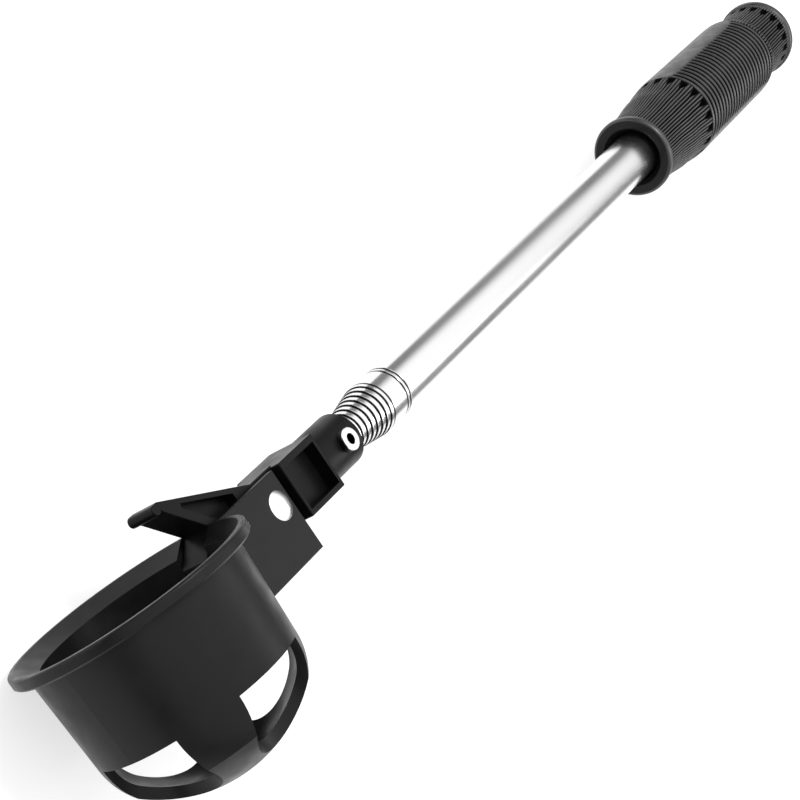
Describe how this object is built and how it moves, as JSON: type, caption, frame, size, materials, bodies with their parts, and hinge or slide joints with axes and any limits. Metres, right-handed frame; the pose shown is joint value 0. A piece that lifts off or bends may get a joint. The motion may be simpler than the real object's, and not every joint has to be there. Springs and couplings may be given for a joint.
{
  "type": "golf ball retriever",
  "caption": "Telescopic golf ball retriever with a rubber grip, nested steel shaft tubes and a hinged moulded ball cup with a guide tongue.",
  "frame": {"origin": "centre of the handle's flat butt face, on the shaft's axis", "axes": "+X along the shaft from the handle to the head; the cup's mouth faces -Y; +Z is along the cup's hinge pin, so the retriever lies on its side"},
  "size_m": [0.4888, 0.0625, 0.0662],
  "materials": {
    "grip_rubber": "satin moulded rubber",
    "plug_plastic": "moulded",
    "shaft_steel": "polished stainless",
    "collar_steel": "bright",
    "rivet_steel": "bright nickel",
    "washer_steel": "zinc plated",
    "sleeve_brass": "phosphor bronze spring",
    "arm_plastic": "moulded ABS",
    "cup_plastic": "moulded ABS"
  },
  "bodies": {
    "handle": {"rubber_grip": "grip_rubber", "rear_plug": "plug_plastic", "outer_tube": "shaft_steel"},
    "section_2": {"tube_2": "shaft_steel", "friction_sleeve_2": "sleeve_brass"},
    "section_3": {"tube_3": "shaft_steel", "friction_sleeve_3": "sleeve_brass"},
    "section_4": {"tube_4": "shaft_steel", "friction_sleeve_4": "sleeve_brass"},
    "section_5": {"tube_5": "shaft_steel", "friction_sleeve_5": "sleeve_brass"},
    "section_6": {"tube_6": "shaft_steel", "friction_sleeve_6": "sleeve_brass"},
    "section_7": {"tube_7": "shaft_steel", "friction_sleeve_7": "sleeve_brass"},
    "section_8": {"tube_8": "shaft_steel", "friction_sleeve_8": "sleeve_brass", "tip_collar": "collar_steel", "head_arm": "arm_plastic", "arm_rivet": "rivet_steel"},
    "cup": {"ball_cup": "cup_plastic", "pivot_rivet": "rivet_steel", "pivot_washer": "washer_steel"}
  },
  "joints": [
    {"name": "slide_2", "type": "slide", "parent": "handle", "child": "section_2", "axis": [1, 0, 0], "range_m": [0, 0.298]},
    {"name": "slide_3", "type": "slide", "parent": "section_2", "child": "section_3", "axis": [1, 0, 0], "range_m": [0, 0.3]},
    {"name": "slide_4", "type": "slide", "parent": "section_3", "child": "section_4", "axis": [1, 0, 0], "range_m": [0, 0.302]},
    {"name": "slide_5", "type": "slide", "parent": "section_4", "child": "section_5", "axis": [1, 0, 0], "range_m": [0, 0.304]},
    {"name": "slide_6", "type": "slide", "parent": "section_5", "child": "section_6", "axis": [1, 0, 0], "range_m": [0, 0.306]},
    {"name": "slide_7", "type": "slide", "parent": "section_6", "child": "section_7", "axis": [1, 0, 0], "range_m": [0, 0.309]},
    {"name": "slide_8", "type": "slide", "parent": "section_7", "child": "section_8", "axis": [1, 0, 0], "range_m": [0, 0.311]},
    {"name": "cup_hinge", "type": "hinge", "parent": "section_8", "child": "cup", "pos_m": [0.401, 0.0004, 0], "axis": [0, 0, -1], "range_deg": [-14, 17]}
  ]
}
